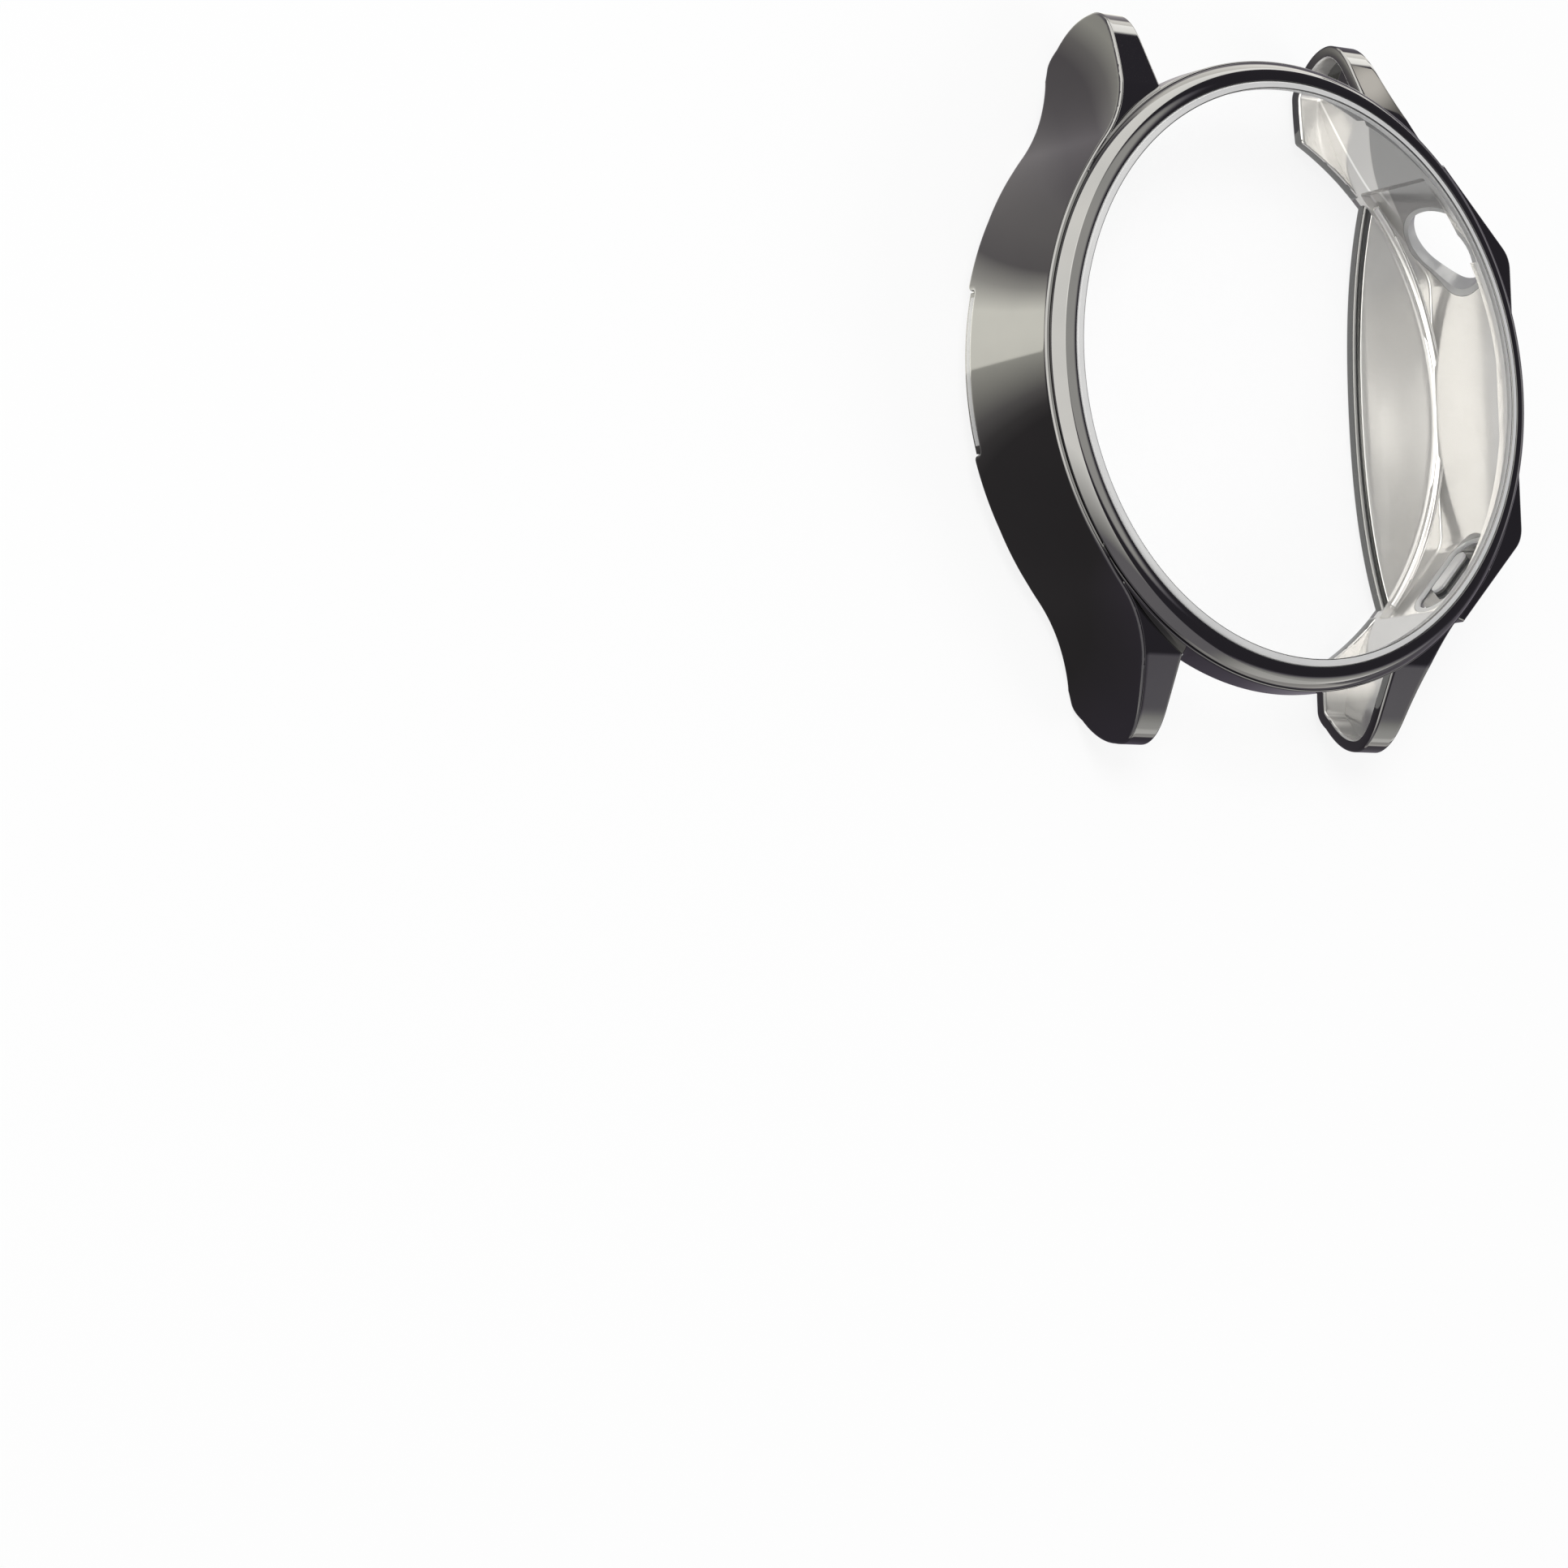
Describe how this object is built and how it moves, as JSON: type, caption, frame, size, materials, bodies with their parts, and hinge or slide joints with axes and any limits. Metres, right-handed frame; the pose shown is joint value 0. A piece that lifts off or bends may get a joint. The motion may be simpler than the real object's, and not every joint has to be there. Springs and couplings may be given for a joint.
{
  "type": "smartwatch bumper case",
  "caption": "Round watch bumper case with a clear front window, open back, crown hole, sprung button cover and open lug covers for a strap.",
  "frame": {"origin": "on the axis of the round window, in the plane that the four lug heels rest on", "axes": "+Z out of the front window, +Y to 12 o'clock along the strap, +X to 3 o'clock, the crown side"},
  "size_m": [0.0498, 0.057, 0.013],
  "materials": {
    "gunmetal_plating": "mirror gunmetal plating over a flexible moulding",
    "clear_rubber": "glossy, pale, translucent flexible moulding",
    "window_film": "clear glossy film"
  },
  "bodies": {
    "case": {"front_window": "window_film", "window_land": "clear_rubber", "bezel_ring": "gunmetal_plating", "left_side_wall": "gunmetal_plating", "right_side_wall": "gunmetal_plating", "upper_right_lug_cover": "gunmetal_plating", "lower_right_lug_cover": "gunmetal_plating", "upper_left_lug_cover": "gunmetal_plating", "lower_left_lug_cover": "gunmetal_plating", "upper_skirt": "gunmetal_plating", "lower_skirt": "gunmetal_plating", "right_rear_flange": "clear_rubber", "left_rear_flange": "clear_rubber", "right_flange_edge": "gunmetal_plating", "left_flange_edge": "gunmetal_plating", "crown_rim": "clear_rubber", "button_web": "clear_rubber"},
    "button": {"button_cap": "gunmetal_plating", "button_pusher": "clear_rubber"}
  },
  "joints": [
    {"name": "button_press", "type": "slide", "parent": "case", "child": "button", "axis": [-0.7071, 0.7071, 0], "range_m": [0, 0.0004], "stiffness_N_per_m": 1500}
  ]
}
